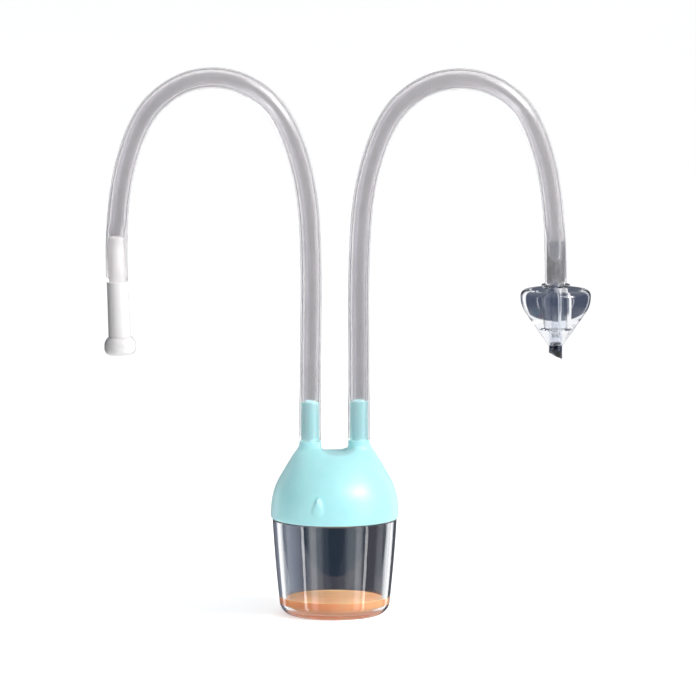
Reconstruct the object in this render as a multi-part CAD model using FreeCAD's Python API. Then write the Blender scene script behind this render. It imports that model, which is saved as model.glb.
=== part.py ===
"""Nasal aspirator: collection cup, soft bell lid, two silicone hoses, mouthpiece and nasal tip.

Millimetres, +Z up. The origin is the centre of the cup's base ring, on the surface it stands on.
The mouthpiece hangs on the -X side and the nasal tip on the +X side.
"""
import FreeCAD, Part
import math
import os

Vec = FreeCAD.Vector
UP = Vec(0, 0, 1)

# ---- hoses -------------------------------------------------------------------------------------
hose_r = 4.0             # outer radius of the silicone hose
hose_bore_r = 2.5        # its bore
stem_gap = 0.05          # running clearance of a spigot or stem in the bore
end_gap = 0.1            # from a hose's end face to the shoulder it sits against
stem_r = hose_bore_r - stem_gap
air_r = 1.5              # air passage through spigots, stems and nozzle

# ---- cup ---------------------------------------------------------------------------------------
cup_base_r = 15.6        # outer edge of the base ring
punt_r = 12.5            # hollow under the base
punt_height = 1.4
floor_z = 2.4            # top of the cup's floor outside the punt
cup_corner_z = 5.6
cup_corner_r = 21.1
cup_mid_z = 20.5
cup_mid_r = 22.55
cup_shoulder_z = 36.8
cup_shoulder_r = 23.7
cup_neck_r = 22.1
cup_rim_z = 43.4
cup_inner_corner_r = 18.5  # where the inner wall starts, above the rounded corner
cup_inner_round = 2.6
cup_outer_round = (19.6, 1.65)  # middle of the outer rounded corner, radius and height
punt_slope = 2.0
base_ring_step = 0.6
cup_inner_top_r = 20.8
fluid_z = 6.6            # surface of the collected fluid

# ---- lid ---------------------------------------------------------------------------------------
lid_z = 37.1             # lower edge of the lid's skirt
skirt_gap = 0.3          # from the skirt to the cup's neck
ledge_z = 44.6           # ledge inside the lid, over the cup's rim
saddle_z = 62.4          # lowest point of the saddle between the necks
neck_top_z = 67.0        # shoulder that the hoses sit against
spigot_top_z = 82.4
spigot_round = 0.4
roof_z = 60.8            # underside of the lid's roof
neck_half_spacing = 9.4  # from the lid's axis to each spigot
neck_angle = 8.0         # turn of the line through the spigots, degrees from the X axis
neck_top_r = 4.15
neck_foot_r = 4.75
neck_foot_z = 60.0
# height, half width along the line of necks, half width across it
lid_sections = [
    (lid_z, 24.3, 24.3), (40.3, 24.4, 24.4), (44.9, 23.9, 23.8), (49.5, 22.7, 22.2), (54.1, 20.4, 18.9),
    (58.8, 17.7, 14.2), (63.4, 14.9, 7.3), (neck_top_z, 13.6, 4.5),
]
cavity_sections = [
    (ledge_z - 1.0, 21.5, 21.4), (49.5, 20.4, 19.8), (54.1, 18.0, 16.4), (58.0, 15.8, 12.6),
    (roof_z, 14.2, 9.6),
]
saddle_left = 2.2        # the saddle's floor runs this far towards the mouthpiece side
saddle_right = 3.6       # and this far towards the nasal side, where it slopes up
saddle_fillet_r = 4.0
slope_end = 12.4         # where the slope on the nasal side reaches the neck's top
emblem_r = 1.9           # raised drop on the front of the skirt
emblem_z = 43.2
emblem_angle = -15.5     # degrees from the front, towards -X
emblem_relief = 0.35

# ---- parts under the lid -----------------------------------------------------------------------
seal_gap = 0.05
seal_inner_r = 20.7
nipple_r = 2.4           # ends of the plate's posts, pressed into sockets in the lid's roof
nipple_height = 1.6
plate_r = 19.2
plate_z = 46.0
plate_top_z = 47.5
post_r = 4.2
vent_r = 1.6
vent_place = (1.9, 8.8)  # along and across the line of necks
chamber_r = 3.3
chamber_top_z = 56.5
seat_z = 50.0
seat_top_z = 51.2
disc_r = 2.6
disc_thick = 0.8
disc_lift = 1.5
disc_gap = 0.05
cage_z = seat_top_z + disc_gap + disc_thick + disc_lift + 0.2
cage_thick = 1.2
cage_wall = 0.6
cage_rib = 1.0
drop_tube_z = 37.0
drop_tube_top_z = 50.5
drop_tube_r = 2.7
filter_cap_z = 41.2
filter_cap_r = 5.0
filter_floor = 1.2
filter_holes = 6
filter_hole_r = 0.6
filter_hole_circle_r = 2.2
filter_pad_r = 3.7
filter_pad_top_z = 45.2

# ---- mouthpiece, along its own axis from the hose's end ------------------------------------------
mouth_stem = 17.0
barrel_length = 21.3
barrel_top_r = 3.9
barrel_end_r = 4.25
lip_length = 6.8
lip_r = 5.95
lip_end_r = 4.3
mouth_bore_r = 1.9

# ---- nasal tip -----------------------------------------------------------------------------------
tip_stem = 16.6
collar_r = 5.4
plug_r = 4.5
plug_length = 14.6
nozzle_r = 2.55
nozzle_top_z = 103.5
nozzle_short_z = 100.7   # the obliquely cut end, on the side towards the cup
nozzle_long_z = 98.2     # and on the outer side
cone_drop = 1.2          # from the hose's end to the top of the soft cone

# ---- routes: corner points (x, z) of each hose; its line touches the middle of every run ---------
suction_route = [
    (-9.3, 67.1), (-9.3, 98.0), (-8.7, 133.4), (-10.3, 165.6), (-19.3, 192.3), (-32.7, 203.7),
    (-47.6, 206.9), (-62.2, 202.5), (-75.1, 189.3), (-83.8, 155.7), (-82.7, 128.3),
]
nose_route = [
    (9.3, 67.1), (9.3, 98.0), (9.0, 131.4), (10.8, 163.7), (19.6, 190.7), (32.7, 202.6),
    (48.2, 206.3), (63.5, 202.0), (75.6, 190.0), (84.2, 158.9), (84.2, 127.0),
]
corner_share = 0.45      # part of the shorter run that each bend takes up

half_way = math.sqrt(0.5)  # cosine of half a right angle
neck_x = neck_half_spacing * math.cos(math.radians(neck_angle))
neck_y = neck_half_spacing * math.sin(math.radians(neck_angle))


def cylinder(radius, low, high, x=0.0, y=0.0):
    return Part.makeCylinder(radius, high - low, Vec(x, y, low))


def ring(outer, inner, low, high, x=0.0, y=0.0):
    return cylinder(outer, low, high, x, y).cut(cylinder(inner, low - 1, high + 1, x, y))


def line(start, end):
    return Part.LineSegment(start, end).toShape()


def arc(start, middle, end):
    return Part.Arc(start, middle, end).toShape()


def point(radius, z):
    """A point of a profile in the XZ plane."""
    return Vec(radius, 0, z)


def revolve(edges):
    """Turn a closed profile in the XZ plane round the Z axis."""
    face = Part.Face(Part.Wire(edges))
    return face.revolve(Vec(0, 0, 0), UP, 360)


def polygon(points):
    """Closed loop of straight edges through (radius, z) points."""
    corners = [point(*p) for p in points]
    return [line(a, b) for a, b in zip(corners, corners[1:] + corners[:1])]


def ellipse_wire(z, along, across):
    centre = Vec(0, 0, z)
    if abs(along - across) < 0.001:
        return Part.Wire([Part.Circle(centre, UP, along).toShape()])
    return Part.Wire([Part.Ellipse(centre + Vec(along, 0, 0), centre + Vec(0, across, 0), centre).toShape()])


def loft(sections):
    return Part.makeLoft([ellipse_wire(*section) for section in sections], True, False)


def on_neck_line(shape):
    """Turn a shape that was made with the necks along X onto the real line of necks."""
    turned = shape.copy()
    turned.rotate(Vec(0, 0, 0), UP, neck_angle)
    return turned


def place_on_end(shape, route, y):
    """Move a piece, made round Z with the hose's end at z = 0, onto the end of a route."""
    before, end = (Vec(x, y, z) for x, z in route[-2:])
    placed = shape.copy()
    placed.Placement = FreeCAD.Placement(end, FreeCAD.Rotation(Vec(0, 0, -1), end - before))
    return placed


# ---- cup and what is in it -------------------------------------------------------------------------
def cup_inner_profile(top_z, top_r):
    """Inside of the cup from the axis to a height on its wall, as edges and the last point."""
    crown = point(0, floor_z + punt_height)
    crown_edge = point(punt_r - punt_slope, floor_z + punt_height)
    floor_inner = point(punt_r, floor_z)
    floor_outer = point(cup_inner_corner_r - cup_inner_round, floor_z)
    inset = cup_inner_round * (1 - half_way)
    corner_middle = point(cup_inner_corner_r - inset, floor_z + inset)
    corner_end = point(cup_inner_corner_r, floor_z + cup_inner_round)
    wall_top = point(top_r, top_z)
    edges = [line(crown, crown_edge), line(crown_edge, floor_inner), line(floor_inner, floor_outer)]
    edges += [arc(floor_outer, corner_middle, corner_end), line(corner_end, wall_top)]
    return edges, crown, wall_top


def inner_radius(z):
    """Inner radius of the cup's wall, which widens evenly from the corner to the shoulder."""
    start_z = floor_z + cup_inner_round
    share = (z - start_z) / (cup_shoulder_z - start_z)
    return cup_inner_corner_r + share * (cup_inner_top_r - cup_inner_corner_r)


def collection_cup():
    inner, crown, wall_top = cup_inner_profile(cup_shoulder_z, cup_inner_top_r)
    rim_in, rim_out = point(cup_inner_top_r, cup_rim_z), point(cup_neck_r, cup_rim_z)
    neck_foot = point(cup_neck_r, cup_shoulder_z)
    shoulder = point(cup_shoulder_r, cup_shoulder_z)
    corner = point(cup_corner_r, cup_corner_z)
    base = point(cup_base_r, 0)
    base_in = point(punt_r + base_ring_step, 0)
    punt_edge = point(punt_r - punt_slope, punt_height)
    punt_top = point(0, punt_height)
    edges = inner + [line(wall_top, rim_in), line(rim_in, rim_out), line(rim_out, neck_foot)]
    edges += [line(neck_foot, shoulder), arc(shoulder, point(cup_mid_r, cup_mid_z), corner)]
    edges += [arc(corner, point(*cup_outer_round), base), line(base, base_in), line(base_in, punt_edge)]
    edges += [line(punt_edge, punt_top), line(punt_top, crown)]
    return revolve(edges)


def collected_fluid():
    edges, crown, wall_top = cup_inner_profile(fluid_z, inner_radius(fluid_z))
    surface = point(0, fluid_z)
    return revolve(edges + [line(wall_top, surface), line(surface, crown)])


# ---- lid -------------------------------------------------------------------------------------------
def saddle_cut():
    """The space between the necks: flat floor, round on one side and sloping on the other."""
    depth = lid_sections[0][1]
    high = spigot_top_z
    left = -saddle_left - saddle_fillet_r
    bend = saddle_fillet_r * half_way
    corner = Vec(-saddle_left - bend, -depth, saddle_z + saddle_fillet_r - bend)
    floor_left, floor_right = Vec(-saddle_left, -depth, saddle_z), Vec(saddle_right, -depth, saddle_z)
    wall_left, top_left = Vec(left, -depth, saddle_z + saddle_fillet_r), Vec(left, -depth, high)
    slope_top, top_right = Vec(slope_end, -depth, neck_top_z), Vec(slope_end, -depth, high)
    edges = [arc(wall_left, corner, floor_left), line(floor_left, floor_right)]
    edges += [line(floor_right, slope_top), line(slope_top, top_right)]
    edges += [line(top_right, top_left), line(top_left, wall_left)]
    return Part.Face(Part.Wire(edges)).extrude(Vec(0, 2 * depth, 0))


def drop_emblem():
    """A plain raised drop, point up, on the front of the skirt."""
    reach = 3.0
    tangent_angle = math.radians(22)
    top = Vec(0, 0, emblem_r / math.sin(tangent_angle))
    side = emblem_r * math.cos(tangent_angle)
    rise = emblem_r * math.sin(tangent_angle)
    left, right, bottom = Vec(-side, 0, rise), Vec(side, 0, rise), Vec(0, 0, -emblem_r)
    outline = Part.Wire([line(top, left), arc(left, bottom, right), line(right, top)])
    drop = Part.Face(outline).extrude(Vec(0, -reach, 0))
    drop.translate(Vec(0, -lid_sections[1][1] + reach / 2, emblem_z))
    drop.rotate(Vec(0, 0, 0), UP, emblem_angle)
    return drop


def lid_cap():
    body = loft(lid_sections).cut(saddle_cut())
    neck = Part.makeCone(neck_foot_r, neck_top_r, neck_top_z - neck_foot_z, Vec(0, 0, neck_foot_z))
    spigot = cylinder(stem_r, neck_top_z - 1, spigot_top_z)
    top_edges = [edge for edge in spigot.Edges if edge.BoundBox.ZMin > spigot_top_z - 0.1]
    spigot = spigot.makeFillet(spigot_round, top_edges)
    for side in (-1, 1):
        for piece in (neck, spigot):
            placed = piece.copy()
            placed.translate(Vec(side * neck_half_spacing, 0, 0))
            body = body.fuse(placed)
    cavity = loft(cavity_sections)
    skirt_bore = cylinder(cup_neck_r + skirt_gap, lid_z - 1, ledge_z)
    body = body.cut(cavity).cut(skirt_bore)
    for side in (-1, 1):
        spigot_x = side * neck_half_spacing
        body = body.cut(cylinder(air_r, roof_z - 2, spigot_top_z + 1, spigot_x))
        body = body.cut(cylinder(nipple_r, roof_z - 2, roof_z + nipple_height, spigot_x))
    body = on_neck_line(body)
    skin = cylinder(lid_sections[1][1] + emblem_relief, lid_z, ledge_z + 4)
    skin = skin.cut(cylinder(lid_sections[1][1] - 1.0, lid_z - 1, ledge_z + 5))
    return body.fuse(drop_emblem().common(skin)).removeSplitter()


def cup_seal():
    return ring(cup_neck_r, seal_inner_r, cup_rim_z + seal_gap, ledge_z)


# ---- parts under the lid -----------------------------------------------------------------------------
def port_plate():
    """Plate in the lid with a valve chamber under the suction port and a post under the nose port."""
    plate = cylinder(plate_r, plate_z, plate_top_z)
    for side in (-1, 1):
        post_x = side * neck_half_spacing
        plate = plate.fuse(cylinder(post_r, plate_z, roof_z, post_x))
        plate = plate.fuse(cylinder(nipple_r, roof_z, roof_z + nipple_height, post_x))
    suction, nose = -neck_half_spacing, neck_half_spacing
    plate = plate.cut(cylinder(chamber_r, plate_z - 1, chamber_top_z, suction))
    for post_x in (suction, nose):
        plate = plate.cut(cylinder(air_r, plate_z, roof_z + nipple_height + 1, post_x))
    plate = plate.cut(cylinder(drop_tube_r, plate_z - 1, drop_tube_top_z, nose))
    for vent_x in (-vent_place[0], vent_place[0]):
        for vent_y in (-vent_place[1], vent_place[1]):
            plate = plate.cut(cylinder(vent_r, plate_z - 1, plate_top_z + 1, vent_x, vent_y))
    return on_neck_line(plate)


def drop_tube():
    return ring(drop_tube_r, air_r, drop_tube_z, drop_tube_top_z, neck_x, neck_y)


def valve_seat():
    return ring(chamber_r, air_r, seat_z, seat_top_z, -neck_x, -neck_y)


def valve_disc():
    low = seat_top_z + disc_gap
    return cylinder(disc_r, low, low + disc_thick, -neck_x, -neck_y)


def valve_cage():
    """Ring with a cross bar that stops the disc and lets the air past."""
    cage = ring(chamber_r, chamber_r - cage_wall, cage_z, cage_z + cage_thick)
    reach = chamber_r - cage_wall / 2
    for angle in (0, 90):
        bar = Part.makeBox(2 * reach, cage_rib, cage_thick, Vec(-reach, -cage_rib / 2, cage_z))
        bar.rotate(Vec(0, 0, 0), UP, angle)
        cage = cage.fuse(bar)
    cage.translate(Vec(-neck_x, -neck_y, 0))
    return cage.removeSplitter()


def filter_cap():
    """Shallow cup that pulls off the plate, with a ring of air holes in its floor."""
    cap = cylinder(filter_cap_r, filter_cap_z, plate_z - end_gap)
    cap = cap.cut(cylinder(filter_pad_r, filter_cap_z + filter_floor, plate_z + 1))
    for hole in range(filter_holes):
        angle = 2 * math.pi * hole / filter_holes
        x, y = filter_hole_circle_r * math.cos(angle), filter_hole_circle_r * math.sin(angle)
        cap = cap.cut(cylinder(filter_hole_r, filter_cap_z - 1, filter_cap_z + filter_floor + 1, x, y))
    cap.translate(Vec(-neck_x, -neck_y, 0))
    return cap


def filter_pad():
    return cylinder(filter_pad_r, filter_cap_z + filter_floor, filter_pad_top_z, -neck_x, -neck_y)


# ---- hoses -------------------------------------------------------------------------------------------
def hose_path(route, y):
    """Straight runs joined by tangent arcs, with the radius of each bend."""
    corners = [Vec(x, y, z) for x, z in route]
    edges, radii = [], []
    start = corners[0]
    for before, corner, after in zip(corners, corners[1:], corners[2:]):
        into, out = corner - before, after - corner
        reach = corner_share * min(into.Length, out.Length)
        turn = into.getAngle(out)
        radius = reach / math.tan(turn / 2)
        into, out = into.normalize(), out.normalize()
        arc_start, arc_end = corner - into * reach, corner + out * reach
        inward = (out - into).normalize()
        middle = corner + inward * (math.hypot(radius, reach) - radius)
        edges += [line(start, arc_start), arc(arc_start, middle, arc_end)]
        radii.append(radius)
        start = arc_end
    edges.append(line(start, corners[-1]))
    return Part.Wire(edges), radii


def hose(name, route, y):
    path, radii = hose_path(route, y)
    start = path.OrderedVertexes[0].Point
    along = Vec(route[1][0] - route[0][0], 0, route[1][1] - route[0][1])
    sweeps = []
    for radius in (hose_r, hose_bore_r):
        circle = Part.Wire([Part.Circle(start, along, radius).toShape()])
        sweeps.append(path.makePipeShell([circle], True, True))
    tube = sweeps[0].cut(sweeps[1])
    expected = math.pi * (hose_r ** 2 - hose_bore_r ** 2) * path.Length
    print("%s: length %.1f, volume / section x length %.4f" % (name, path.Length, tube.Volume / expected))
    print("   bend radii", [round(radius, 1) for radius in radii])
    return tube


# ---- mouthpiece --------------------------------------------------------------------------------------
def mouthpiece_barrel():
    """Stem in the hose above z = 0, barrel below it, one bore right through."""
    stem = polygon([(air_r, -1.0), (stem_r, -1.0), (stem_r, mouth_stem), (air_r, mouth_stem)])
    barrel = polygon([
        (air_r, -end_gap), (barrel_top_r, -end_gap), (barrel_end_r, -barrel_length),
        (mouth_bore_r, -barrel_length),
    ])
    return place_on_end(revolve(stem).fuse(revolve(barrel)).removeSplitter(), suction_route, -neck_y)


def mouthpiece_lip():
    """Rounded bead on the end of the barrel."""
    top, bottom = -barrel_length, -barrel_length - lip_length
    waist = point(barrel_end_r, top)
    belly = point(lip_r, top - 0.55 * lip_length)
    heel = point(lip_end_r, bottom)
    upper = point(5.55, top - 0.26 * lip_length)
    lower = point(5.55, top - 0.84 * lip_length)
    inner_low, inner_top = point(mouth_bore_r, bottom), point(mouth_bore_r, top)
    edges = [arc(waist, upper, belly), arc(belly, lower, heel), line(heel, inner_low)]
    edges += [line(inner_low, inner_top), line(inner_top, waist)]
    return place_on_end(revolve(edges), suction_route, -neck_y)


# ---- nasal tip ---------------------------------------------------------------------------------------
tip_x, tip_z = nose_route[-1]


def along_tip(z):
    """Distance below the hose's end of a height on the nasal tip."""
    return z - tip_z


def tip_connector():
    """Stem, collar and plug of hard clear plastic, running on as the obliquely cut nozzle."""
    collar_z = -cone_drop
    body = cylinder(stem_r, -1.0, tip_stem)
    body = body.fuse(cylinder(collar_r, collar_z, -end_gap))
    body = body.fuse(cylinder(plug_r, collar_z - plug_length, collar_z))
    body = body.fuse(cylinder(nozzle_r, along_tip(nozzle_long_z) - 1, collar_z - plug_length))
    body = body.cut(cylinder(air_r, along_tip(nozzle_long_z) - 2, tip_stem + 1))
    wide = 3 * nozzle_r
    slope = (nozzle_short_z - nozzle_long_z) / (2 * nozzle_r)
    below = along_tip(nozzle_long_z) - 10
    cut_left = along_tip(nozzle_short_z) + slope * (wide - nozzle_r)
    cut_right = along_tip(nozzle_long_z) - slope * (wide - nozzle_r)
    corners = [Vec(-wide, -wide, below), Vec(wide, -wide, below), Vec(wide, -wide, cut_right)]
    corners += [Vec(-wide, -wide, cut_left), Vec(-wide, -wide, below)]
    wedge = Part.Face(Part.makePolygon(corners)).extrude(Vec(0, 2 * wide, 0))
    body = body.cut(wedge).removeSplitter()
    body.translate(Vec(tip_x, neck_y, tip_z))
    return body


def nasal_cone():
    """Soft clear cone with rounded shoulders, bored for the connector's plug and nozzle."""
    top = -cone_drop
    bore_low = top - plug_length
    outer_top = point(collar_r, top)
    crown = point(11.2, top - 0.9)
    shoulder_middle = point(12.9, top - 1.9)
    shoulder = point(13.4, top - 3.8)
    flank = point(13.1, top - 6.4)
    hip = point(11.1, top - 10.5)
    toe = point(nozzle_r + 0.25, along_tip(nozzle_top_z))
    toe_in = point(nozzle_r, along_tip(nozzle_top_z))
    edges = [line(point(plug_r, top), outer_top), line(outer_top, crown)]
    edges += [arc(crown, shoulder_middle, shoulder), arc(shoulder, flank, hip), line(hip, toe)]
    edges += [line(toe, toe_in), line(toe_in, point(nozzle_r, bore_low))]
    edges += [line(point(nozzle_r, bore_low), point(plug_r, bore_low))]
    edges += [line(point(plug_r, bore_low), point(plug_r, top))]
    cone = revolve(edges)
    cone.translate(Vec(tip_x, neck_y, tip_z))
    return cone


nodes = {
    "collection_cup": collection_cup(),
    "collected_fluid": collected_fluid(),
    "lid_cap": lid_cap(),
    "cup_seal": cup_seal(),
    "port_plate": port_plate(),
    "drop_tube": drop_tube(),
    "valve_seat": valve_seat(),
    "valve_disc": valve_disc(),
    "valve_cage": valve_cage(),
    "filter_cap": filter_cap(),
    "filter_pad": filter_pad(),
    "suction_hose": hose("suction hose", suction_route, -neck_y),
    "nose_hose": hose("nose hose", nose_route, neck_y),
    "mouthpiece_barrel": mouthpiece_barrel(),
    "mouthpiece_lip": mouthpiece_lip(),
    "tip_connector": tip_connector(),
    "nasal_cone": nasal_cone(),
}

os.makedirs("parts", exist_ok=True)
for name, shape in nodes.items():
    assert shape.isValid() and len(shape.Solids) == 1, "%s: %d solids" % (name, len(shape.Solids))
    shape.Solids[0].exportStep(os.path.join("parts", name + ".step"))
    print("%-18s volume %8.1f mm3" % (name, shape.Volume))
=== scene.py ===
"""Nasal aspirator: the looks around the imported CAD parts.

Shapes are given in millimetres in the frame of the part, +Z up and -Y to the front, and are
scaled to metres when a mesh is made. Round pieces are turned profiles of (radius, height).
"""

import math

import bmesh
import bpy
from mathutils import Matrix, Vector


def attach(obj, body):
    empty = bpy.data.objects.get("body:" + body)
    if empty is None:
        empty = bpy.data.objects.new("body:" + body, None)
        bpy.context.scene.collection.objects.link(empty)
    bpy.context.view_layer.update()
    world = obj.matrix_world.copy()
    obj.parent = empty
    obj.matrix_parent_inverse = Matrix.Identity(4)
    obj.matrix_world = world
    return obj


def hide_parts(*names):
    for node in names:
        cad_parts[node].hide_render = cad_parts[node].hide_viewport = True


MM = 0.001

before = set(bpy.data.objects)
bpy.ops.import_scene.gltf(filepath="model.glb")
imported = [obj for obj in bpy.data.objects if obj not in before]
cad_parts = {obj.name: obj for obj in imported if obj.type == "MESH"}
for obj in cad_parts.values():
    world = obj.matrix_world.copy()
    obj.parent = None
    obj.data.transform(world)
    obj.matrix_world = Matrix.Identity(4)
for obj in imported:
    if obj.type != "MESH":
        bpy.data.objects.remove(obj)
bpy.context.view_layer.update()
scene = bpy.context.scene

# ---- camera ------------------------------------------------------------------------------------
VIEW_TARGET = Vector((5.1, 0.0, 102.5)) * MM
VIEW_ELEVATION = math.radians(7.4)
VIEW_DISTANCE = 3.0
VIEW_WIDTH = 0.2652          # width of what the camera sees at the target
SENSOR = 36.0

camera_data = bpy.data.cameras.new("camera")
camera_data.sensor_width = SENSOR
camera_data.lens = SENSOR * VIEW_DISTANCE / VIEW_WIDTH
camera_data.clip_start = 0.1
camera_data.clip_end = 50.0
camera = bpy.data.objects.new("camera", camera_data)
scene.collection.objects.link(camera)
towards_camera = Vector((0.0, -math.cos(VIEW_ELEVATION), math.sin(VIEW_ELEVATION)))
camera.location = VIEW_TARGET + towards_camera * VIEW_DISTANCE
camera.rotation_euler = (-towards_camera).to_track_quat("-Z", "Y").to_euler()
scene.camera = camera

# ---- shader nodes ------------------------------------------------------------------------------
MIX_FIRST, MIX_SECOND, MIX_RESULT = 6, 7, 2    # the colour sockets of a Mix node
NOISE_DETAIL = 3.0
NOISE_LOW, NOISE_HIGH = 0.3, 0.7               # share of the noise over which a colour drifts
HEIGHT_BLEND = 0.4                             # half the height over which one colour gives way


def add_node(tree, kind, **inputs):
    """A new node with its inputs set; an underscore in a socket's name stands for a space."""
    made = tree.nodes.new(kind)
    for socket, value in inputs.items():
        made.inputs[socket.replace("_", " ")].default_value = value
    return made


def mix_colors(tree, share, first, second):
    """Goes from first at share 0 to second at share 1; each is a colour or an output socket."""
    mix = add_node(tree, "ShaderNodeMix")
    mix.data_type = "RGBA"
    tree.links.new(share, mix.inputs["Factor"])
    for socket, value in ((mix.inputs[MIX_FIRST], first), (mix.inputs[MIX_SECOND], second)):
        if isinstance(value, tuple):
            socket.default_value = (*value, 1.0)
        else:
            tree.links.new(value, socket)
    return mix.outputs[MIX_RESULT]


def shader_of(material):
    """The Principled shader of a material."""
    return material.node_tree.nodes["Principled BSDF"]


def new_material(name, color, roughness, **settings):
    """A material with one Principled shader; settings are its other sockets by name."""
    material = bpy.data.materials.new(name)
    material.use_nodes = True
    shader = shader_of(material)
    shader.inputs["Base Color"].default_value = (*color, 1.0)
    shader.inputs["Roughness"].default_value = roughness
    for socket, value in settings.items():
        shader.inputs[socket.replace("_", " ")].default_value = value
    return material


def object_noise(tree, scale):
    """Noise in the piece's own coordinates; scale is in grains per metre."""
    place = add_node(tree, "ShaderNodeTexCoord")
    noise = add_node(tree, "ShaderNodeTexNoise", Scale=scale, Detail=NOISE_DETAIL)
    tree.links.new(place.outputs["Object"], noise.inputs["Vector"])
    return noise.outputs["Fac"]


def vary_color(material, scale, low, high):
    """Base colour that drifts between two tones over the surface."""
    tree = material.node_tree
    ramp = add_node(tree, "ShaderNodeValToRGB")
    ramp.color_ramp.elements[0].position = NOISE_LOW
    ramp.color_ramp.elements[1].position = NOISE_HIGH
    ramp.color_ramp.elements[0].color = (*low, 1.0)
    ramp.color_ramp.elements[1].color = (*high, 1.0)
    tree.links.new(object_noise(tree, scale), ramp.inputs["Fac"])
    tree.links.new(ramp.outputs["Color"], shader_of(material).inputs["Base Color"])


def vary_roughness(material, scale, low, high):
    """Gloss that is a little uneven over the surface."""
    tree = material.node_tree
    spread = add_node(tree, "ShaderNodeMapRange", To_Min=low, To_Max=high)
    tree.links.new(object_noise(tree, scale), spread.inputs["Value"])
    tree.links.new(spread.outputs["Result"], shader_of(material).inputs["Roughness"])


def add_bump(material, scale, height_mm):
    """Fine relief of the moulded surface."""
    tree = material.node_tree
    bump = add_node(tree, "ShaderNodeBump", Strength=1.0, Distance=height_mm * MM)
    tree.links.new(object_noise(tree, scale), bump.inputs["Height"])
    tree.links.new(bump.outputs["Normal"], shader_of(material).inputs["Normal"])


def finished(material, tones, tone_scale, rough, rough_scale, bump_scale, bump_mm):
    """Colour drift, uneven gloss and fine relief together."""
    vary_color(material, tone_scale, *tones)
    vary_roughness(material, rough_scale, *rough)
    add_bump(material, bump_scale, bump_mm)
    return material


def darken_below(material, height, color):
    """A second base colour below a height of the part, in place of the first."""
    tree = material.node_tree
    base_color = shader_of(material).inputs["Base Color"]
    place = add_node(tree, "ShaderNodeTexCoord")
    split = add_node(tree, "ShaderNodeSeparateXYZ")
    above = add_node(tree, "ShaderNodeMapRange", From_Min=(height - HEIGHT_BLEND) * MM,
                     From_Max=(height + HEIGHT_BLEND) * MM)
    tree.links.new(place.outputs["Object"], split.inputs[0])
    tree.links.new(split.outputs["Z"], above.inputs["Value"])
    mixed = mix_colors(tree, above.outputs["Result"], color, base_color.links[0].from_socket)
    tree.links.new(mixed, base_color)


# ---- materials ---------------------------------------------------------------------------------
NOZZLE_TOP = 103.4           # height where the nozzle comes out of the cone
NOZZLE_BLUE = (0.10, 0.13, 0.20)

cup_plastic = finished(
    new_material("cup_clear", (0.93, 0.95, 0.97), 0.02, Transmission_Weight=1.0, IOR=1.5),
    tones=((0.90, 0.93, 0.96), (0.95, 0.97, 0.98)), tone_scale=60.0,
    rough=(0.01, 0.035), rough_scale=200.0, bump_scale=300.0, bump_mm=0.004)
fluid_orange = finished(
    new_material("fluid_orange", (0.9, 0.45, 0.25), 0.05, Subsurface_Weight=0.6,
                 Subsurface_Scale=0.004, IOR=1.34, Specular_IOR_Level=0.02),
    tones=((0.90, 0.39, 0.18), (0.97, 0.51, 0.27)), tone_scale=90.0,
    rough=(0.03, 0.08), rough_scale=200.0, bump_scale=150.0, bump_mm=0.05)
mint_silicone = finished(
    new_material("mint_silicone", (0.37, 0.74, 0.765), 0.36, Subsurface_Weight=0.2,
                 Subsurface_Scale=0.003, IOR=1.5, Sheen_Weight=0.3, Sheen_Roughness=0.5),
    tones=((0.355, 0.72, 0.745), (0.385, 0.76, 0.785)), tone_scale=140.0,
    rough=(0.32, 0.40), rough_scale=500.0, bump_scale=4200.0, bump_mm=0.02)
hose_silicone = finished(
    new_material("hose_silicone", (0.84, 0.825, 0.835), 0.2, Transmission_Weight=0.9, IOR=1.41),
    tones=((0.82, 0.805, 0.815), (0.86, 0.845, 0.855)), tone_scale=60.0,
    rough=(0.17, 0.24), rough_scale=300.0, bump_scale=900.0, bump_mm=0.008)
white_plastic = finished(
    new_material("white_plastic", (0.78, 0.765, 0.76), 0.14, IOR=1.5, Coat_Weight=0.4,
                 Coat_Roughness=0.05),
    tones=((0.76, 0.745, 0.745), (0.80, 0.785, 0.78)), tone_scale=120.0,
    rough=(0.10, 0.18), rough_scale=400.0, bump_scale=1500.0, bump_mm=0.006)
tip_plastic = finished(
    new_material("tip_clear", (0.93, 0.94, 0.97), 0.02, Transmission_Weight=1.0, IOR=1.5),
    tones=((0.88, 0.90, 0.94), (0.95, 0.96, 0.98)), tone_scale=120.0,
    rough=(0.01, 0.03), rough_scale=400.0, bump_scale=500.0, bump_mm=0.004)
darken_below(tip_plastic, NOZZLE_TOP, NOZZLE_BLUE)
tip_silicone = finished(
    new_material("cone_clear", (0.94, 0.95, 0.98), 0.03, Transmission_Weight=1.0, IOR=1.42),
    tones=((0.90, 0.92, 0.96), (0.96, 0.97, 0.99)), tone_scale=120.0,
    rough=(0.015, 0.04), rough_scale=300.0, bump_scale=350.0, bump_mm=0.02)
inner_plastic = finished(
    new_material("inner_plastic", (0.8, 0.81, 0.82), 0.35, IOR=1.5),
    tones=((0.76, 0.77, 0.79), (0.84, 0.85, 0.86)), tone_scale=150.0,
    rough=(0.28, 0.42), rough_scale=500.0, bump_scale=3000.0, bump_mm=0.012)
inner_clear = finished(
    new_material("inner_clear", (0.85, 0.88, 0.9), 0.08, Transmission_Weight=0.9, IOR=1.48),
    tones=((0.82, 0.86, 0.88), (0.88, 0.91, 0.93)), tone_scale=150.0,
    rough=(0.05, 0.12), rough_scale=500.0, bump_scale=1200.0, bump_mm=0.006)
seal_silicone = finished(
    new_material("seal_silicone", (0.78, 0.81, 0.81), 0.5, Subsurface_Weight=0.3,
                 Subsurface_Scale=0.001),
    tones=((0.74, 0.78, 0.78), (0.82, 0.84, 0.84)), tone_scale=200.0,
    rough=(0.42, 0.58), rough_scale=600.0, bump_scale=3500.0, bump_mm=0.012)
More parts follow.
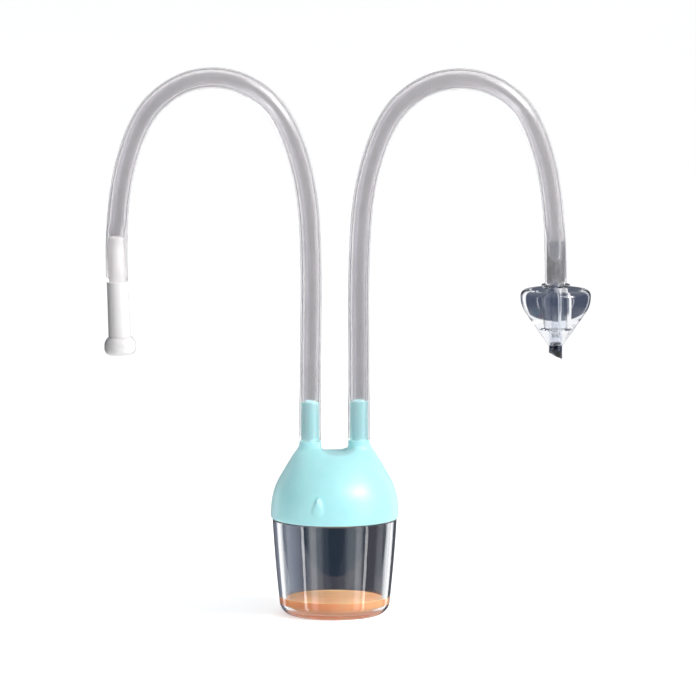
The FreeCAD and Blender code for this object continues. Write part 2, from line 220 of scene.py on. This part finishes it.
valve_rubber = finished(
    new_material("valve_rubber", (0.1, 0.34, 0.4), 0.48),
    tones=((0.09, 0.31, 0.36), (0.12, 0.38, 0.43)), tone_scale=300.0,
    rough=(0.40, 0.55), rough_scale=600.0, bump_scale=4000.0, bump_mm=0.015)
filter_foam = finished(
    new_material("filter_foam", (0.84, 0.84, 0.8), 0.9),
    tones=((0.62, 0.62, 0.58), (0.88, 0.88, 0.84)), tone_scale=2500.0,
    rough=(0.85, 0.98), rough_scale=900.0, bump_scale=2600.0, bump_mm=0.25)

# ---- mesh helpers ------------------------------------------------------------------------------
MERGE_DISTANCE = 0.0005      # points of a skin closer than this become one
SHORTEST_EDGE = 0.0001
EASE_SHARE = 0.48            # a corner's rounding takes at most this share of each side


def add_piece(name, mesh, material, body, slot, *nodes):
    """Put a finished mesh on a CAD body, in place of the CAD nodes that it stands for."""
    mesh.materials.append(material)
    for polygon in mesh.polygons:
        polygon.use_smooth = True
    piece = bpy.data.objects.new(name, mesh)
    scene.collection.objects.link(piece)
    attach(piece, body)
    if nodes:
        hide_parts(*nodes)
    return piece


def mesh_of_rings(name, rings, closed_loop):
    """Skin over rings of points; closed_loop joins the last ring to the first."""
    count = len(rings[0])
    points = [point * MM for ring in rings for point in ring]
    faces = []
    for i in range(len(rings) if closed_loop else len(rings) - 1):
        j = (i + 1) % len(rings)
        for k in range(count):
            m = (k + 1) % count
            faces.append((i * count + k, i * count + m, j * count + m, j * count + k))
    mesh = bpy.data.meshes.new(name)
    mesh.from_pydata(points, [], faces)
    work = bmesh.new()
    work.from_mesh(mesh)
    bmesh.ops.remove_doubles(work, verts=work.verts, dist=MERGE_DISTANCE * MM)
    bmesh.ops.dissolve_degenerate(work, edges=work.edges, dist=SHORTEST_EDGE * MM)
    bmesh.ops.recalc_face_normals(work, faces=work.faces)
    work.to_mesh(mesh)
    work.free()
    return mesh


def turned(name, profile, place=Matrix.Identity(4), segments=128, closed_loop=True):
    """Turn a profile of (radius, height) round Z; place moves the result, in millimetres."""
    rings = []
    for radius, height in profile:
        ring = []
        for k in range(segments):
            angle = 2 * math.pi * k / segments
            ring.append(place @ Vector((radius * math.cos(angle), radius * math.sin(angle), height)))
        rings.append(ring)
    return mesh_of_rings(name, rings, closed_loop)


def bend_through(start, middle, end, steps=10):
    """Points of the circular arc from start to end through middle, both ends included."""
    (ax, ay), (bx, by), (cx, cy) = start, middle, end
    d = 2 * (ax * (by - cy) + bx * (cy - ay) + cx * (ay - by))
    a2, b2, c2 = ax * ax + ay * ay, bx * bx + by * by, cx * cx + cy * cy
    ux = (a2 * (by - cy) + b2 * (cy - ay) + c2 * (ay - by)) / d
    uy = (a2 * (cx - bx) + b2 * (ax - cx) + c2 * (bx - ax)) / d
    radius = math.hypot(ax - ux, ay - uy)
    first = math.atan2(ay - uy, ax - ux)
    turn = (math.atan2(cy - uy, cx - ux) - first + math.pi) % (2 * math.pi) - math.pi
    angles = [first + turn * k / steps for k in range(steps + 1)]
    return [(ux + radius * math.cos(t), uy + radius * math.sin(t)) for t in angles]


def rounded(corners, steps=4):
    """Closed profile of (radius, height, rounding) corners, each corner eased by its rounding."""
    points = []
    for i, (r, z, ease) in enumerate(corners):
        corner = Vector((r, z))
        if ease <= 0:
            points.append((r, z))
            continue
        before = Vector(corners[i - 1][:2]) - corner
        after = Vector(corners[(i + 1) % len(corners)][:2]) - corner
        start = corner + before.normalized() * min(ease, EASE_SHARE * before.length)
        end = corner + after.normalized() * min(ease, EASE_SHARE * after.length)
        for k in range(steps + 1):
            t = k / steps
            eased = start * (1 - t) ** 2 + corner * 2 * t * (1 - t) + end * t ** 2
            points.append(tuple(eased))
    return points


def plain(points):
    """Points of a profile that keep their place, as corners without rounding."""
    return [(r, z, 0.0) for r, z in points]


def smooth_step(share):
    """0 up to a share of 0, 1 from a share of 1, and a gentle rise between them."""
    share = min(max(share, 0.0), 1.0)
    return share * share * (3 - 2 * share)


# ---- hoses -------------------------------------------------------------------------------------
HOSE_R = 4.0
HOSE_BORE_R = 2.5
HOSE_SWELL = 0.14            # how much wider the hose is where a stem or spigot stretches it
SWELL_LENGTH = 16.0
SWELL_FADE = 4.0
GRIP_R = 2.36                # bore where it grips a stem, with no air between them
GRIP_PAST_STEM = 2.0         # the bore stays that narrow for this length past the stem
GRIP_FADE = 6.0              # past the stem the bore returns to the middle of the hose over this length
END_ROUND = 0.35
BORE_CHAMFER = 0.1
SPIGOT_LENGTH = 15.3
MOUTH_STEM = 17.0            # how far the mouthpiece's stem reaches into its hose
TIP_STEM = 16.6              # and the nasal tip's into the other
HOSE_SEGMENTS = 48
CURVE_STEPS = 14
NECK_Y = 1.3082              # the left hose stands this far in front of the middle, the right one behind

SUCTION_ROUTE = [
    (-9.3, 67.1), (-9.3, 98.0), (-8.7, 133.4), (-10.3, 165.6), (-19.3, 192.3), (-32.7, 203.7),
    (-47.6, 206.9), (-62.2, 202.5), (-75.1, 189.3), (-83.8, 155.7), (-82.7, 128.3),
]
NOSE_ROUTE = [
    (9.3, 67.1), (9.3, 98.0), (9.0, 131.4), (10.8, 163.7), (19.6, 190.7), (32.7, 202.6),
    (48.2, 206.3), (63.5, 202.0), (75.6, 190.0), (84.2, 158.9), (84.2, 127.0),
]


def hose_line(route, y):
    """Points along the NURBS curve that has the route as its control points."""
    curve = bpy.data.curves.new("hose_line", "CURVE")
    curve.dimensions = "3D"
    curve.resolution_u = CURVE_STEPS
    spline = curve.splines.new("NURBS")
    spline.points.add(len(route) - 1)
    for control, (x, z) in zip(spline.points, route):
        control.co = (x, y, z, 1.0)
    spline.order_u = 3
    spline.use_endpoint_u = True
    holder = bpy.data.objects.new("hose_line", curve)
    line = [vertex.co.copy() for vertex in bpy.data.meshes.new_from_object(holder).vertices]
    bpy.data.objects.remove(holder)
    return line


def hose_mesh(name, line, route, stem):
    """Hollow tube along a line of constant Y; stem is how far the stem at its far end reaches in."""
    (before_x, before_z), (end_x, end_z) = route[-2:]
    inwards = Vector((before_x - end_x, 0, before_z - end_z)).normalized()
    side = Vector((0, 1, 0))
    places = [0.0]
    for before, after in zip(line, line[1:]):
        places.append(places[-1] + (after - before).length)
    total = places[-1]

    def ring(index, radius, shift=0.0, centre=None):
        """Ring round a point of the line, or round centre, moved along the line by shift."""
        along = (line[min(index + 1, len(line) - 1)] - line[max(index - 1, 0)]).normalized()
        up = along.cross(side)
        centre = (line[index] if centre is None else centre) + along * shift
        angles = [2 * math.pi * k / HOSE_SEGMENTS for k in range(HOSE_SEGMENTS)]
        return [centre + side * radius * math.cos(t) + up * radius * math.sin(t) for t in angles]

    def swell(index):
        """How much wider the hose is at a point of the line."""
        nearer_end = min(places[index], total - places[index])
        return HOSE_SWELL * (1 - smooth_step((nearer_end - SWELL_LENGTH) / SWELL_FADE))

    def bore_ring(index):
        """The bore grips the spigot and the straight stem, whose line it follows."""
        left = total - places[index]
        gripped = places[index] < SPIGOT_LENGTH or left < stem + GRIP_PAST_STEM
        straight = line[-1] + inwards * left
        follow = 1 - smooth_step((left - stem) / GRIP_FADE)
        return ring(index, GRIP_R if gripped else HOSE_BORE_R, centre=line[index].lerp(straight, follow))

    last = len(line) - 1
    outer = [HOSE_R + swell(i) for i in range(last + 1)]
    rings = [ring(0, outer[0] - END_ROUND), ring(0, outer[0], END_ROUND)]
    rings += [ring(i, outer[i]) for i in range(1, last)]
    rings += [ring(last, outer[last], -END_ROUND), ring(last, outer[last] - END_ROUND)]
    rings += [ring(last, GRIP_R + BORE_CHAMFER), ring(last, GRIP_R, -BORE_CHAMFER)]
    rings += [bore_ring(i) for i in range(last - 1, 0, -1)]
    rings += [ring(0, GRIP_R, BORE_CHAMFER), ring(0, GRIP_R + BORE_CHAMFER)]
    return mesh_of_rings(name, rings, True)


suction_line = hose_line(SUCTION_ROUTE, -NECK_Y)
nose_line = hose_line(NOSE_ROUTE, NECK_Y)
suction_tube = add_piece("suction_tube", hose_mesh("suction_tube", suction_line, SUCTION_ROUTE, MOUTH_STEM),
                         hose_silicone, "suction_line", "hose_silicone", "suction_hose")
nose_tube = add_piece("nose_tube", hose_mesh("nose_tube", nose_line, NOSE_ROUTE, TIP_STEM),
                      hose_silicone, "nose_line", "hose_silicone", "nose_hose")
suction_tube.visible_shadow = False
nose_tube.visible_shadow = False

# ---- cup and fluid -----------------------------------------------------------------------------
UNDERSIDE_Z = 1.4            # the base is hollowed this much inside its ring
RAISED_R = 10.5              # radius of the raised middle of the floor
RAISED_Z = 3.8               # top of that middle
GROOVE_R, GROOVE_Z = 12.5, 2.4         # inner edge and floor of the groove round it
GROOVE_END_R = 15.9          # where the groove's floor curves up into the wall
WALL_FOOT_R, WALL_FOOT_Z = 18.5, 5.0   # and where that curve ends
SHOULDER_Z = 36.8            # just under the lid's skirt
RIM_R, RIM_Z = 20.8, 43.4              # inner edge of the cup's mouth
OUTER_STEPS = 14
CUP_SEGMENTS = 160

cup_profile = rounded(
    [(0.0, UNDERSIDE_Z, 0.0), (RAISED_R, UNDERSIDE_Z, 0.8), (13.1, 0.0, 0.5)]
    + plain(bend_through((15.6, 0.0), (19.6, 1.65), (21.1, 5.6), OUTER_STEPS))
    + plain(bend_through((21.1, 5.6), (22.55, 20.5), (23.7, 36.6), OUTER_STEPS)[1:])
    + [(23.7, SHOULDER_Z, 0.2), (22.1, SHOULDER_Z, 0.2), (22.1, RIM_Z, 0.5), (RIM_R, RIM_Z, 0.5)]
    + [(RIM_R, SHOULDER_Z, 0.6)]
    + plain(bend_through((WALL_FOOT_R, WALL_FOOT_Z), (17.74, 3.16), (GROOVE_END_R, GROOVE_Z)))
    + [(GROOVE_R, GROOVE_Z, 0.6), (RAISED_R, RAISED_Z, 0.8), (0.0, RAISED_Z, 0.0)])
cup = add_piece("cup", turned("cup", cup_profile, segments=CUP_SEGMENTS, closed_loop=False), cup_plastic,
                "cup", "clear_cup", "collection_cup")
cup.visible_shadow = False

FLUID_TOP = 6.6
WETTING = 0.05               # the fluid wets the wall: its surface lies this far into the cup's own
# the corners at the fluid's top make its edge climb the wall a little
fluid_profile = rounded(
    [(0.0, RAISED_Z - WETTING, 0.0), (RAISED_R, RAISED_Z - WETTING, 0.8)]
    + [(GROOVE_R, GROOVE_Z - WETTING, 0.6)]
    + plain(bend_through((GROOVE_END_R, GROOVE_Z - WETTING), (17.71, 3.19),
                         (WALL_FOOT_R + WETTING, WALL_FOOT_Z)))
    + [(18.72, FLUID_TOP + 0.42, 0.05), (18.1, FLUID_TOP + 0.02, 0.7), (16.6, FLUID_TOP - 0.02, 0.8)]
    + [(0.0, FLUID_TOP, 0.0)])
add_piece("fluid", turned("fluid", fluid_profile, closed_loop=False), fluid_orange,
          "cup", "fluid", "collected_fluid")

# ---- lid ---------------------------------------------------------------------------------------
LID_VOXEL = 0.4
RELAX_FACTOR = 0.5
# how often the lid's surface is relaxed between two heights; the spigots above keep their size
LID_RELAXED = [(0.0, 66.6, 12), (59.5, 66.2, 10)]


def lid_mesh():
    """The lid's CAD shape with its creases melted into the soft fillets of a silicone moulding."""
    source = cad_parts["lid_cap"]
    work = bpy.data.objects.new("lid_work", source.data.copy())
    scene.collection.objects.link(work)
    remesh = work.modifiers.new("remesh", "REMESH")
    remesh.mode = "VOXEL"
    remesh.voxel_size = LID_VOXEL * MM
    remesh.adaptivity = 0.0
    bpy.context.view_layer.update()
    evaluated = work.evaluated_get(bpy.context.evaluated_depsgraph_get())
    mesh = bpy.data.meshes.new_from_object(evaluated)
    mesh.name = "lid"
    mesh.materials.clear()
    bpy.data.objects.remove(work)
    melted = bmesh.new()
    melted.from_mesh(mesh)
    for low, high, repeats in LID_RELAXED:
        band = [vertex for vertex in melted.verts if low * MM < vertex.co.z < high * MM]
        for _ in range(repeats):
            bmesh.ops.smooth_vert(melted, verts=band, factor=RELAX_FACTOR,
                                  use_axis_x=True, use_axis_y=True, use_axis_z=True)
    melted.to_mesh(mesh)
    melted.free()
    return mesh


add_piece("lid", lid_mesh(), mint_silicone, "lid", "mint_silicone", "lid_cap")

# ---- mouthpiece --------------------------------------------------------------------------------
# its profiles, and the nasal tip's, have the hose's end at height 0 and the stem above it
AIR_R = 1.5
STEM_R = 2.45
SEAT_Z = -0.1                # both ends stop this far short of the hose
BARREL_END = -21.3
LIP_TOP = -21.32


def on_end(route, y):
    """Places a piece made round Z, with the hose's end at z = 0, on the end of a route."""
    before, end = (Vector((x, y, z)) for x, z in route[-2:])
    turn = Vector((0, 0, 1)).rotation_difference((before - end).normalized())
    return Matrix.Translation(end) @ turn.to_matrix().to_4x4()


mouth_place = on_end(SUCTION_ROUTE, -NECK_Y)
barrel_profile = rounded([
    (AIR_R, MOUTH_STEM, 0.2), (AIR_R, BARREL_END, 0.0), (4.22, BARREL_END, 0.0), (4.25, -21.0, 0.1),
    (3.95, SEAT_Z, 0.35), (STEM_R, SEAT_Z, 0.0), (STEM_R, MOUTH_STEM, 0.5),
])
barrel = add_piece("mouth_barrel", turned("mouth_barrel", barrel_profile, mouth_place), white_plastic,
                   "mouthpiece", "white_plastic", "mouthpiece_barrel")
lip_profile = (
    bend_through((4.3, LIP_TOP), (5.62, -22.9), (5.95, -25.0))
    + bend_through((5.95, -25.0), (5.5, -27.2), (4.3, -28.08))[1:]
    + [(2.3, -28.1), (1.9, -27.8), (1.9, LIP_TOP)])
lip = add_piece("mouth_lip", turned("mouth_lip", lip_profile, mouth_place), white_plastic,
                "mouthpiece", "white_plastic", "mouthpiece_lip")

# ---- nasal tip ---------------------------------------------------------------------------------
CONE_TOP = -1.2
CONE_HOLLOW_END = -15.85     # the cone is hollow for the plug down to here
CONE_END = -23.4
PLUG_R = 4.47
PLUG_END = -15.8
NOZZLE_R = 2.55
NOZZLE_MIDDLE = -24.0        # the slant of the nozzle's end runs out here
CUT_SHORT = -26.3            # the oblique end on the side towards the cup
CUT_LONG = -28.8             # and on the outer side
CUT_TOLERANCE = 0.01

tip_place = on_end(NOSE_ROUTE, NECK_Y)
cone_profile = rounded(
    [(4.5, CONE_TOP, 0.15), (5.6, CONE_TOP, 0.3)]
    + plain(bend_through((11.2, -2.1), (12.9, -3.1), (13.4, -5.0)))
    + plain(bend_through((13.4, -5.0), (13.1, -7.6), (11.1, -11.7))[1:])
    + [(2.9, CONE_END, 0.25), (2.58, CONE_END, 0.05)]
    + [(2.58, CONE_HOLLOW_END, 0.3), (4.5, CONE_HOLLOW_END, 0.3)])
cone = add_piece("nasal_cone_soft", turned("nasal_cone_soft", cone_profile, tip_place), tip_silicone,
                 "nasal_tip", "clear_silicone", "nasal_cone")


def connector_mesh():
    """Stem, collar, plug and nozzle in one; the nozzle's end is cut at a slant."""
    profile = rounded([
        (AIR_R, TIP_STEM, 0.15), (AIR_R, NOZZLE_MIDDLE, 0.0), (AIR_R, CUT_SHORT, 0.0),
        (NOZZLE_R, CUT_SHORT, 0.0), (NOZZLE_R, NOZZLE_MIDDLE, 0.0), (NOZZLE_R, PLUG_END, 0.2),
        (PLUG_R, PLUG_END, 0.5), (PLUG_R, CONE_TOP, 0.1), (5.4, CONE_TOP, 0.2), (5.4, SEAT_Z, 0.3),
        (STEM_R, SEAT_Z, 0.0), (STEM_R, TIP_STEM, 0.5),
    ])
    mesh = turned("tip_connector_clear", profile)
    middle = (CUT_SHORT + CUT_LONG) / 2
    slope = (CUT_LONG - CUT_SHORT) / (2 * NOZZLE_R)
    for vertex in mesh.vertices:
        if vertex.co.z < (CUT_SHORT + CUT_TOLERANCE) * MM:
            vertex.co.z = middle * MM + slope * vertex.co.x
    mesh.transform(Matrix.Scale(MM, 4) @ tip_place @ Matrix.Scale(1 / MM, 4))
    return mesh


connector = add_piece("tip_connector_clear", connector_mesh(), tip_plastic,
                      "nasal_tip", "clear_plastic", "tip_connector")

# ---- inner parts keep their CAD shape ----------------------------------------------------------
INNER_FINISHES = {
    "cup_seal": seal_silicone,
    "port_plate": inner_plastic,
    "drop_tube": inner_clear,
    "valve_seat": seal_silicone,
    "valve_disc": valve_rubber,
    "valve_cage": inner_plastic,
    "filter_cap": inner_plastic,
    "filter_pad": filter_foam,
}
for part_name, finish in INNER_FINISHES.items():
    part_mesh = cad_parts[part_name].data
    part_mesh.materials.clear()
    part_mesh.materials.append(finish)


# ---- floor and cards, which are no part of the object ------------------------------------------
def stage_sheet(name, points, faces, paint):
    """A floor or card that only serves the picture."""
    mesh = bpy.data.meshes.new(name)
    mesh.from_pydata([Vector(point) * MM for point in points], [], faces)
    mesh.materials.append(paint)
    sheet = bpy.data.objects.new(name, mesh)
    scene.collection.objects.link(sheet)
    return sheet


def seen_through_only(name, points, faces, paint):
    """A card that only shows in clear parts."""
    card = stage_sheet(name, points, faces, paint)
    card.visible_camera = False
    card.visible_diffuse = False
    card.visible_glossy = False
    card.visible_shadow = False
    return card


def unlit(name, color):
    """Paint for a card that shows one flat colour."""
    return new_material(name, (0.0, 0.0, 0.0), 1.0, Specular_IOR_Level=0.0,
                        Emission_Color=(*color, 1.0), Emission_Strength=1.0)


FLOOR_HALF = 6000.0
FLOOR_DROP = 0.2             # keeps the floor clear of the cup's base
FLOOR_GLOW = 0.38

floor_paint = new_material("floor_paint", (0.92, 0.92, 0.92), 0.7, Emission_Color=(1, 1, 1, 1),
                           Emission_Strength=FLOOR_GLOW)
vary_color(floor_paint, scale=3.0, low=(0.915, 0.915, 0.92), high=(0.935, 0.935, 0.935))
floor_corners = [(x * FLOOR_HALF, y * FLOOR_HALF, -FLOOR_DROP)
                 for x, y in ((-1, -1), (1, -1), (1, 1), (-1, 1))]
floor = stage_sheet("floor", floor_corners, [range(4)], floor_paint)
floor.visible_transmission = False
floor.visible_glossy = False

# dark card with a round foot behind the cup, one for each of four sides
FLAG_HALF = 17.0             # half its width
FLAG_TOP = 45.0
FLAG_FOOT = 26.0             # the round foot starts at this height
FLAG_DROP = 19.0             # and reaches this far below it
FLAG_DISTANCE = 55.0         # from the cup's axis
FLAG_STEPS = 24
FLAG_NAVY = (0.020, 0.030, 0.047)

foot_angles = [-math.pi * k / FLAG_STEPS for k in range(FLAG_STEPS + 1)]
flag_outline = [(-FLAG_HALF, FLAG_DISTANCE, FLAG_TOP), (FLAG_HALF, FLAG_DISTANCE, FLAG_TOP)]
flag_outline += [(FLAG_HALF * math.cos(t), FLAG_DISTANCE, FLAG_FOOT + FLAG_DROP * math.sin(t))
                 for t in foot_angles]
flag_paint = unlit("flag_paint", FLAG_NAVY)
for quarter in range(4):
    flag = seen_through_only("cup_flag_%d" % quarter, flag_outline, [range(len(flag_outline))], flag_paint)
    flag.rotation_euler = (0, 0, quarter * math.pi / 2)

# slate screen curved round the nasal tip, behind it and on its left
TIP_SCREEN_R = 50.0
TIP_SCREEN_LOW, TIP_SCREEN_HIGH = 45.0, 137.0
TIP_SCREEN_FROM, TIP_SCREEN_TO = math.radians(60), math.radians(250)
TIP_SCREEN_STEPS = 36
TIP_SCREEN_SLATE = (0.075, 0.09, 0.135)

tip_x = NOSE_ROUTE[-1][0]
screen_points = []
for k in range(TIP_SCREEN_STEPS + 1):
    around = TIP_SCREEN_FROM + (TIP_SCREEN_TO - TIP_SCREEN_FROM) * k / TIP_SCREEN_STEPS
    screen_x = tip_x + TIP_SCREEN_R * math.cos(around)
    screen_y = TIP_SCREEN_R * math.sin(around)
    screen_points += [(screen_x, screen_y, TIP_SCREEN_LOW), (screen_x, screen_y, TIP_SCREEN_HIGH)]
screen_faces = [(2 * k, 2 * k + 2, 2 * k + 3, 2 * k + 1) for k in range(TIP_SCREEN_STEPS)]
seen_through_only("tip_screen", screen_points, screen_faces, unlit("slate_paint", TIP_SCREEN_SLATE))

# light that the fluid colours on the floor, seen through the cup's base
GLOW_R = 20.0
GLOW_Z = -0.1
GLOW_STEPS = 48
GLOW_ORANGE = (0.60, 0.29, 0.19)

glow_angles = [2 * math.pi * k / GLOW_STEPS for k in range(GLOW_STEPS)]
glow_points = [(GLOW_R * math.cos(t), GLOW_R * math.sin(t), GLOW_Z) for t in glow_angles]
seen_through_only("fluid_glow", glow_points, [range(GLOW_STEPS)], unlit("glow_paint", GLOW_ORANGE))

# black card beside the mouthpiece, out of the picture, that shades its outer side
CARD_X = -120.0
CARD_HALF = 75.0
CARD_LOW, CARD_HIGH = 60.0, 160.0

card_corners = [(CARD_X, -CARD_HALF, CARD_LOW), (CARD_X, CARD_HALF, CARD_LOW),
                (CARD_X, CARD_HALF, CARD_HIGH), (CARD_X, -CARD_HALF, CARD_HIGH)]
card_paint = new_material("card_paint", (0.02, 0.02, 0.025), 0.8)
dark_card = stage_sheet("dark_card", card_corners, [range(4)], card_paint)
dark_card.visible_camera = False
dark_card.visible_transmission = False

# ---- lamps, in metres and watts ----------------------------------------------------------------
LAMP_AIM = Vector((0.0, 0.0, 0.07))
LAMP_DISTANCE = 0.9
LINE_WIDTH, LINE_HEIGHT = 0.09, 1.1    # tall narrow lamps that make the light lines on the cup


def area_light(name, towards, width, height, power):
    """A rectangular lamp that stands in the given direction and faces the part."""
    data = bpy.data.lights.new(name, "AREA")
    data.shape = "RECTANGLE"
    data.size, data.size_y = width, height
    data.energy = power
    lamp = bpy.data.objects.new(name, data)
    scene.collection.objects.link(lamp)
    away = Vector(towards).normalized()
    lamp.location = LAMP_AIM + away * LAMP_DISTANCE
    lamp.rotation_euler = away.to_track_quat("Z", "Y").to_euler()
    return lamp


def gloss_only(lamp):
    """Lets a lamp show in gloss and nothing else."""
    lamp.visible_diffuse = False
    lamp.visible_transmission = False


area_light("key", (0.66, -0.39, 0.64), width=0.17, height=0.17, power=4.0)
gloss_only(area_light("gloss_box", (0.62, -0.45, 0.70), width=0.55, height=0.55, power=9.0))
fill = area_light("fill", (0.10, -0.80, 0.56), width=0.3, height=0.3, power=0.9)
fill.visible_glossy = False
fill.visible_transmission = False
gloss_only(area_light("line_left", (-0.89, -0.46, -0.06), LINE_WIDTH, LINE_HEIGHT, power=2.6))
gloss_only(area_light("line_right", (0.89, -0.46, -0.06), LINE_WIDTH, LINE_HEIGHT, power=2.2))

# ---- world -------------------------------------------------------------------------------------
# Through clear pieces the studio shows a dark screen on each of four sides, with white between
# the screens, above them and straight below. In gloss it shows grey screens with narrow bright
# gaps, and white above and below. All else is lit by a soft dome that is brighter on the right.
SCREEN_DARK = (0.066, 0.062, 0.074)
SCREEN_PALE = (0.25, 0.265, 0.32)    # the lighter edge of each screen, on its left
SCREEN_TURN = math.radians(3)        # the screens are set this much to the left
MIRRORED_GREY = (0.13, 0.14, 0.165)
MIRRORED_GAP = (2.6, 2.6, 2.75)
WHITE = (1.0, 1.0, 1.0)
DOME_LEFT = (0.46, 0.47, 0.49)
DOME_RIGHT = (0.84, 0.84, 0.84)

# where each blend starts and ends, in the cosine or sine of four times the azimuth
SCREEN_EDGE = (-0.7, 0.0)            # cosine, from gap to screen
PALE_EDGE = (-0.1, 0.45)             # sine, from the dark to the lighter part of a screen
MIRRORED_EDGE = (-1.0, -0.8)         # cosine, from bright gap to grey
# and in the upward or sideways part of the direction
SCREEN_TOP = (0.1, 0.34)
SCREEN_BOTTOM = (-0.85, -0.65)
MIRRORED_END = (0.35, 0.6)           # up or down
DOME_SPREAD = (-0.8, 0.8)            # from left to right

world = bpy.data.worlds.new("studio")
scene.world = world
world.use_nodes = True
world_tree = world.node_tree
world_tree.nodes.clear()


def math_node(operation, *values):
    """The result of a Math node; each value is a number or an output socket."""
    made = add_node(world_tree, "ShaderNodeMath")
    made.operation = operation
    for socket, value in zip(made.inputs, values):
        if isinstance(value, (int, float)):
            socket.default_value = value
        else:
            world_tree.links.new(value, socket)
    return made.outputs[0]


def ramp_between(value, low, high):
    """0 below low, 1 above high, smooth between them."""
    made = add_node(world_tree, "ShaderNodeMapRange", From_Min=low, From_Max=high)
    made.interpolation_type = "SMOOTHSTEP"
    world_tree.links.new(value, made.inputs["Value"])
    return made.outputs["Result"]


def blend(share, first, second):
    """mix_colors in the world."""
    return mix_colors(world_tree, share, first, second)


direction = add_node(world_tree, "ShaderNodeTexCoord").outputs["Generated"]
split = add_node(world_tree, "ShaderNodeSeparateXYZ")
world_tree.links.new(direction, split.inputs[0])
across, back, up = split.outputs
azimuth = math_node("SUBTRACT", math_node("ARCTAN2", back, across), SCREEN_TURN)
four_turns = math_node("MULTIPLY", azimuth, 4.0)
cosine = math_node("COSINE", four_turns)
sine = math_node("SINE", four_turns)

looking_up = ramp_between(up, *SCREEN_TOP)
looking_down = math_node("SUBTRACT", 1.0, ramp_between(up, *SCREEN_BOTTOM))
screen_height = math_node("SUBTRACT", 1.0, math_node("ADD", looking_up, looking_down))
on_screen = math_node("MULTIPLY", ramp_between(cosine, *SCREEN_EDGE), screen_height)
screen_color = blend(ramp_between(sine, *PALE_EDGE), SCREEN_DARK, SCREEN_PALE)
seen_through = blend(on_screen, WHITE, screen_color)

near_level = math_node("SUBTRACT", 1.0, ramp_between(math_node("ABSOLUTE", up), *MIRRORED_END))
mirrored_color = blend(ramp_between(cosine, *MIRRORED_EDGE), MIRRORED_GAP, MIRRORED_GREY)
mirrored = blend(near_level, WHITE, mirrored_color)

dome = blend(ramp_between(across, *DOME_SPREAD), DOME_LEFT, DOME_RIGHT)
ray = add_node(world_tree, "ShaderNodeLightPath")
seen = blend(ray.outputs["Is Glossy Ray"], dome, mirrored)
seen = blend(ray.outputs["Is Transmission Ray"], seen, seen_through)
seen = blend(ray.outputs["Is Camera Ray"], seen, WHITE)
background = add_node(world_tree, "ShaderNodeBackground")
output = add_node(world_tree, "ShaderNodeOutputWorld")
world_tree.links.new(seen, background.inputs["Color"])
world_tree.links.new(background.outputs[0], output.inputs["Surface"])

scene.view_settings.view_transform = "Standard"
scene.view_settings.look = "None"
